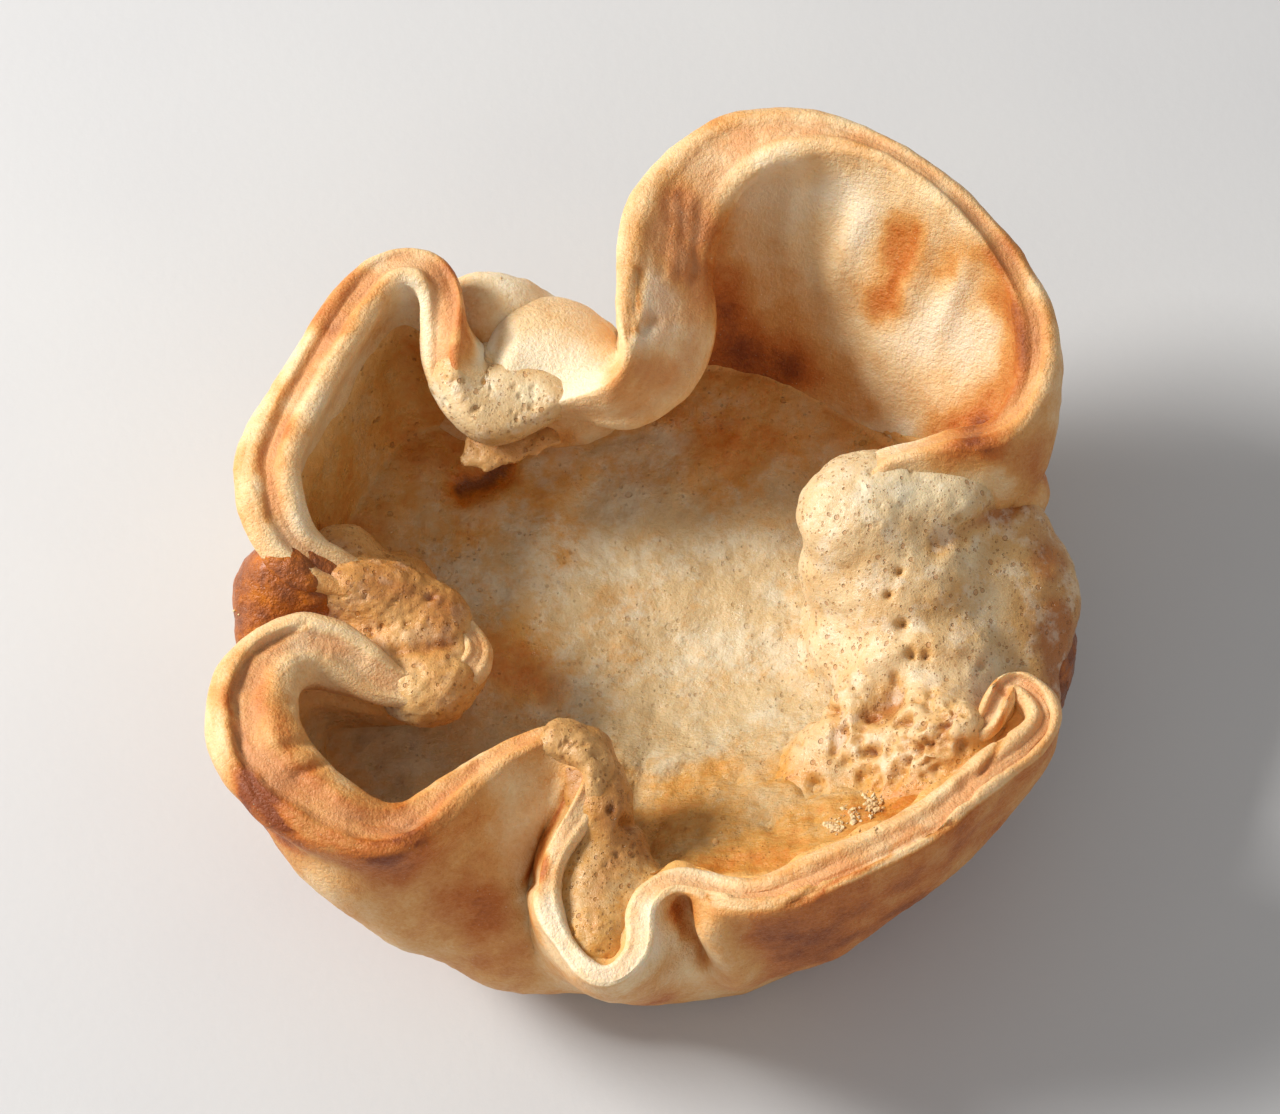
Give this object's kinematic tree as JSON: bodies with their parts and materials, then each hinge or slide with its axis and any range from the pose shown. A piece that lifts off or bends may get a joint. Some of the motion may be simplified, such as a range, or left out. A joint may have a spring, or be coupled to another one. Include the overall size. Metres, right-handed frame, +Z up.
{
  "type": "butter tart",
  "caption": "Home-baked butter tart: a small pastry shell with a ruffled, folded-in rim round a sunken, caramelised filling that has frothed over its edge.",
  "frame": {"origin": "middle of the round flat base that the tart stands on", "axes": "+Z up out of the base, +Y towards the tall rear lobe, +X to the right as the tart is seen from the front"},
  "size_m": [0.0714, 0.0753, 0.0331],
  "materials": {
    "baked_pastry": "dry baked shortcrust, cream to toasted brown, matte with a faint greasy sheen",
    "caramelised_filling": "baked sugar and butter froth with open pores, tan to amber, satin"
  },
  "bodies": {
    "root": {"pastry_shell": "baked_pastry", "filling": "caramelised_filling"}
  },
  "joints": []
}
